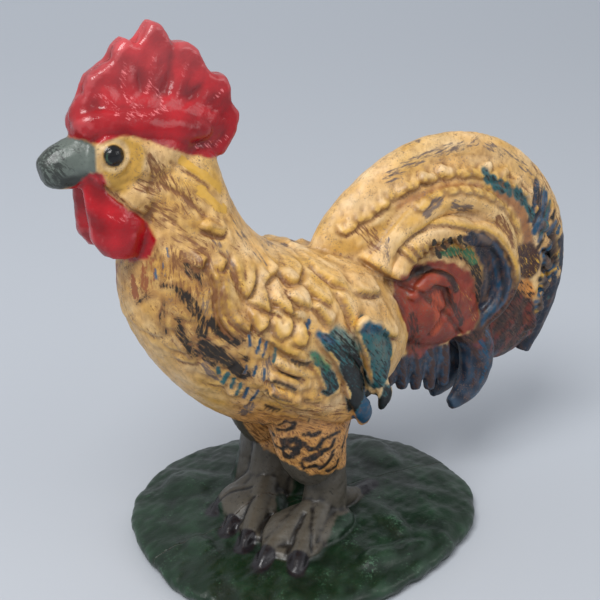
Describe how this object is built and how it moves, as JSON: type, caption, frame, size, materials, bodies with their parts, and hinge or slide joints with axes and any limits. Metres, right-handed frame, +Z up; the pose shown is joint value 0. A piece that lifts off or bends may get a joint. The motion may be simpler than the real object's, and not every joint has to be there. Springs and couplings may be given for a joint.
{
  "type": "doorstop",
  "caption": "Full-figure cast iron rooster doorstop on a mound base, two hollow painted half castings held by slotted screws.",
  "frame": {"origin": "centre of the bounding box on the floor plane that the base rests on", "axes": "+X towards the tail (the bird faces -X), +Y towards the bird's right side, +Z up"},
  "size_m": [0.2741, 0.1539, 0.251],
  "materials": {
    "painted_iron": "hand-painted enamel in several colours over cast iron, glossy and worn on high spots",
    "screw_steel": "dull darkened steel"
  },
  "bodies": {
    "root": {"left_casting": "painted_iron", "right_casting": "painted_iron", "neck_screw": "screw_steel", "tail_screw": "screw_steel", "belly_screw": "screw_steel"}
  },
  "joints": []
}
